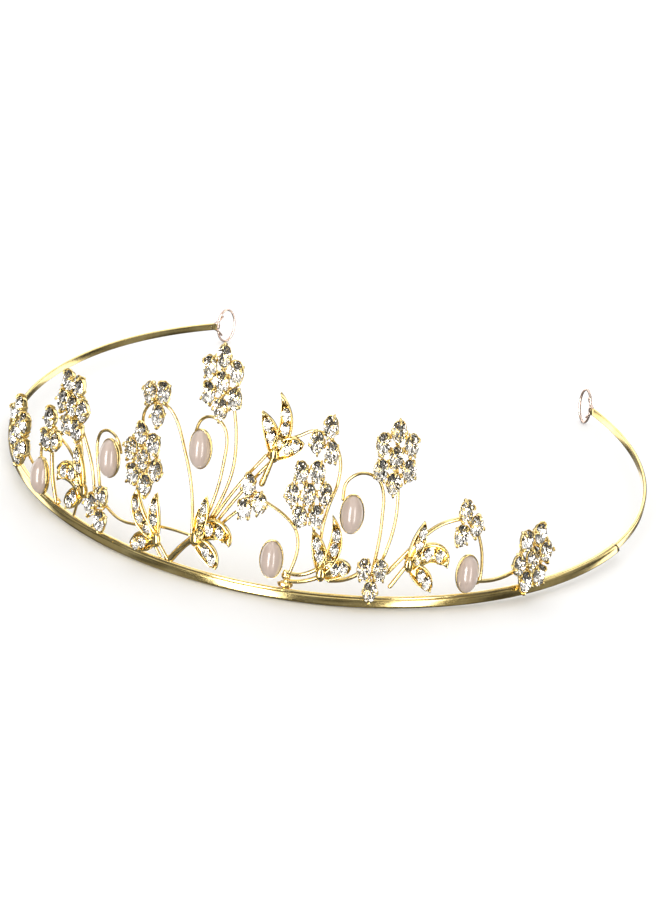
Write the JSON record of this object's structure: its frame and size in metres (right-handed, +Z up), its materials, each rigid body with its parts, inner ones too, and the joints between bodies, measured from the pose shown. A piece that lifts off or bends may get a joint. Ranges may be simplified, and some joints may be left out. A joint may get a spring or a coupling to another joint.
{
  "type": "bridal tiara",
  "caption": "Gilded U-shaped bridal headband with a scrolling front of bent wire, claw-set crystal flowers, leaf sprigs and half-round pearls.",
  "frame": {"origin": "centre of the bounding box's base, on the surface the tiara stands on", "axes": "+Z up, the front faces -Y, +X is to the right of someone who looks at the front"},
  "size_m": [0.1402, 0.1242, 0.0537],
  "materials": {
    "gilded_band": "polished pale gilding on the headband",
    "gilded_setting": "polished gilding on claw cups, castings and pearl cups",
    "gilded_wire": "polished gilding on bent wire",
    "rose_gilded_wire": "pale rose gilding on the end loops",
    "gilded_solder": "deeper orange gilding over rough solder",
    "clear_crystal": "clear faceted stone with a foiled back",
    "imitation_pearl": "pinkish cream pearl lustre"
  },
  "bodies": {
    "tiara": {"base_rail": "gilded_band", "end_loop_left": "rose_gilded_wire", "end_loop_right": "rose_gilded_wire", "fan_stems": "gilded_wire", "flower_1_setting": "gilded_setting", "flower_2_setting": "gilded_setting", "flower_2_stems": "gilded_wire", "flower_3_setting": "gilded_setting", "flower_4_setting": "gilded_setting", "flower_4_stem": "gilded_wire", "flower_5_setting": "gilded_setting", "flower_6_setting": "gilded_setting", "flower_6_stem": "gilded_wire", "flower_7_setting": "gilded_setting", "flower_7_stem": "gilded_wire", "flower_stones": "clear_crystal", "front_sleeve": "gilded_band", "headband_core": "gilded_band", "left_arch": "gilded_wire", "left_end_stems": "gilded_wire", "left_link": "gilded_wire", "pearl_1": "imitation_pearl", "pearl_1_cup": "gilded_setting", "pearl_1_foot": "gilded_wire", "pearl_2": "imitation_pearl", "pearl_2_cup": "gilded_setting", "pearl_2_curl": "gilded_wire", "pearl_3": "imitation_pearl", "pearl_3_cup": "gilded_setting", "pearl_3_curl": "gilded_wire", "pearl_4": "imitation_pearl", "pearl_4_cup": "gilded_setting", "pearl_5": "imitation_pearl", "pearl_5_cup": "gilded_setting", "pearl_5_curl": "gilded_wire", "pearl_6": "imitation_pearl", "pearl_6_cup": "gilded_setting", "pearl_6_stem": "gilded_wire", "solder_joints": "gilded_solder", "sprig_1_casting": "gilded_setting", "sprig_2_casting": "gilded_setting", "sprig_2_struts": "gilded_wire", "sprig_3_casting": "gilded_setting", "sprig_3_stalk": "gilded_wire", "sprig_4_casting": "gilded_setting", "sprig_5_bridges": "gilded_wire", "sprig_5_casting": "gilded_setting", "sprig_6_casting": "gilded_setting", "sprig_6_links": "gilded_wire", "sprig_stones": "clear_crystal", "trefoil_1_setting": "gilded_setting", "trefoil_2_setting": "gilded_setting", "trefoil_3_setting": "gilded_setting", "trefoil_4_arch": "gilded_wire", "trefoil_4_setting": "gilded_setting", "trefoil_5_arch": "gilded_wire", "trefoil_5_setting": "gilded_setting", "trefoil_6_setting": "gilded_setting", "trefoil_7_setting": "gilded_setting", "trefoil_stones": "clear_crystal"}
  },
  "joints": []
}
